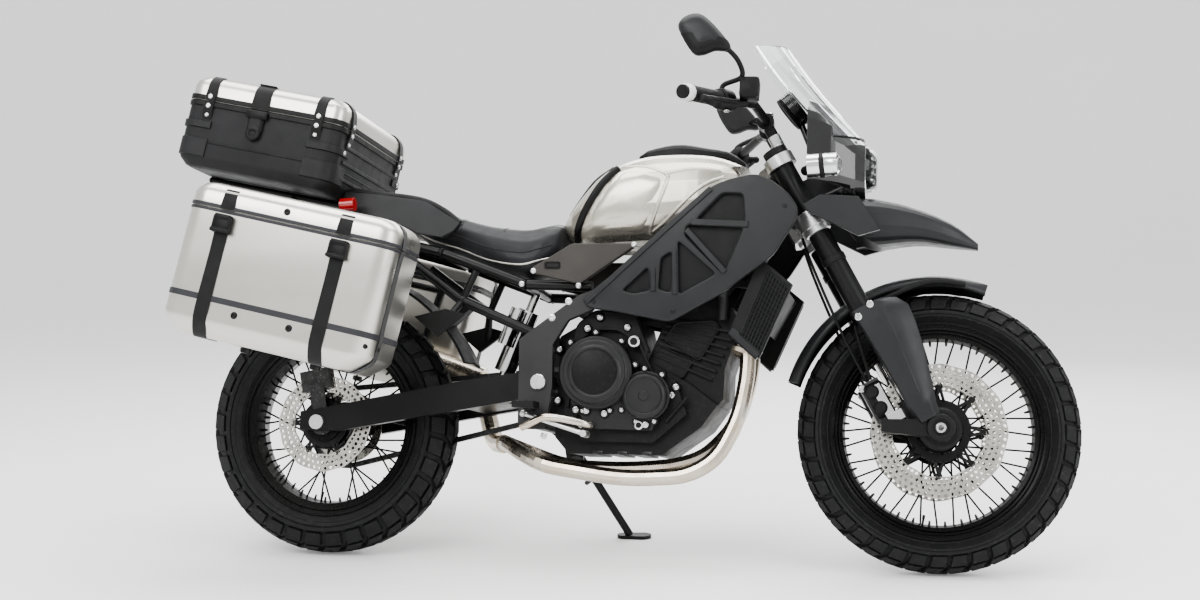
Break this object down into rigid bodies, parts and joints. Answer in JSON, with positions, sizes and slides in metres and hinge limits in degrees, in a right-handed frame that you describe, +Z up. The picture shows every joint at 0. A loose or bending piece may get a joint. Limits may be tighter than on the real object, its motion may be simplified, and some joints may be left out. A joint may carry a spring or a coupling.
{
  "type": "adventure motorcycle",
  "caption": "Tall adventure motorcycle with spoked wheels, aluminium panniers and a top case, leaning on its side stand.",
  "frame": {"origin": "middle of the object's outline on the ground that it stands on", "axes": "+X towards the front wheel, +Y to the rider's left, +Z up; the machine leans 12 degrees to its left"},
  "size_m": [2.2181, 1.0292, 1.3187],
  "materials": {
    "frame": "satin",
    "frame_tube": "satin",
    "engine": "satin",
    "engine_cover": "satin",
    "exhaust": "brushed",
    "radiator": "matte",
    "tank_paint": "satin",
    "black_plastic": "textured",
    "grey_plastic": "satin",
    "brown_plastic": "satin",
    "gloss_black": "gloss",
    "seat_vinyl": "matte vinyl",
    "tyre": "matte",
    "grip_rubber": "matte",
    "rim": "satin",
    "disc_steel": "brushed",
    "clamp_silver": "satin",
    "chrome": "polished",
    "caliper": "anodised",
    "case_aluminium": "brushed",
    "case_plastic": "textured",
    "clear": "clear",
    "lens": "clear",
    "red_lens": "gloss"
  },
  "bodies": {
    "chassis": {"main_frame": "frame", "subframe": "frame_tube", "engine_case": "engine", "engine_top": "engine", "engine_covers": "engine_cover", "exhaust_headers": "exhaust", "muffler": "exhaust", "radiator": "radiator", "fuel_tank": "tank_paint", "tank_top_cover": "black_plastic", "tank_pad": "black_plastic", "side_shrouds": "grey_plastic", "side_covers": "brown_plastic", "rider_seat": "seat_vinyl", "tail_cover": "grey_plastic", "luggage_rack": "frame_tube", "swingarm": "frame_tube", "rear_shock": "clamp_silver", "rear_axle": "clamp_silver", "rear_caliper": "caliper", "drive_chain": "disc_steel", "rear_mudguard": "black_plastic", "tail_light": "red_lens", "footpegs": "black_plastic", "foot_levers": "clamp_silver", "nose_fairing": "gloss_black", "headlight_lens": "lens", "windscreen": "clear", "instrument": "gloss_black", "beak": "grey_plastic", "front_indicators": "chrome", "top_case_body": "case_plastic", "right_pannier_body": "case_aluminium", "left_pannier_body": "case_aluminium"},
    "steering": {"triple_clamps": "clamp_silver", "fork_tubes": "frame_tube", "fork_lowers": "chrome", "fork_guards": "grey_plastic", "front_axle": "clamp_silver", "front_mudguard": "grey_plastic", "front_calipers": "caliper", "handlebar": "frame_tube", "grips": "grip_rubber", "hand_controls": "black_plastic", "mirrors": "black_plastic", "brake_hoses": "grip_rubber"},
    "front_wheel": {"front_tyre": "tyre", "front_rim": "rim", "front_discs": "disc_steel"},
    "rear_wheel": {"rear_tyre": "tyre", "rear_rim": "rim", "rear_disc": "disc_steel", "rear_sprocket": "disc_steel"},
    "side_stand": {"side_stand": "frame_tube"},
    "top_case_lid": {"top_case_lid": "case_aluminium"},
    "right_pannier_lid": {"right_pannier_lid": "case_aluminium"},
    "left_pannier_lid": {"left_pannier_lid": "case_aluminium"}
  },
  "joints": [
    {"name": "steering", "type": "hinge", "parent": "chassis", "child": "steering", "pos_m": [0.38774, 0.05109, 0.89968], "axis": [-0.4838, 0.1818, 0.8561], "range_deg": [-38, 30]},
    {"name": "front_wheel_spin", "type": "hinge", "parent": "steering", "child": "front_wheel", "pos_m": [0.77527, -0.06675, 0.32603], "axis": [-0.0613, 0.9687, -0.2404], "continuous": true},
    {"name": "rear_wheel_spin", "type": "hinge", "parent": "chassis", "child": "rear_wheel", "pos_m": [-0.73862, -0.07264, 0.31896], "axis": [-0.0003, 0.9781, -0.2079], "continuous": true},
    {"name": "side_stand_fold", "type": "hinge", "parent": "chassis", "child": "side_stand", "pos_m": [-0.13872, 0.09133, 0.22937], "axis": [0.0005, 0.9169, 0.399], "range_deg": [0, 100]},
    {"name": "top_case_lid_hinge", "type": "hinge", "parent": "chassis", "child": "top_case_lid", "pos_m": [-0.6623, 0.07819, 1.02846], "axis": [-0.0003, 0.9781, -0.2079], "range_deg": [0, 80]},
    {"name": "right_pannier_lid_hinge", "type": "hinge", "parent": "chassis", "child": "right_pannier_lid", "pos_m": [-0.70504, -0.21649, 0.80175], "axis": [-0.9779, 0.0432, 0.2046], "range_deg": [0, 48]},
    {"name": "left_pannier_lid_hinge", "type": "hinge", "parent": "chassis", "child": "left_pannier_lid", "pos_m": [-0.70516, 0.25517, 0.7015], "axis": [0.9779, -0.0432, -0.2046], "range_deg": [0, 48]}
  ]
}
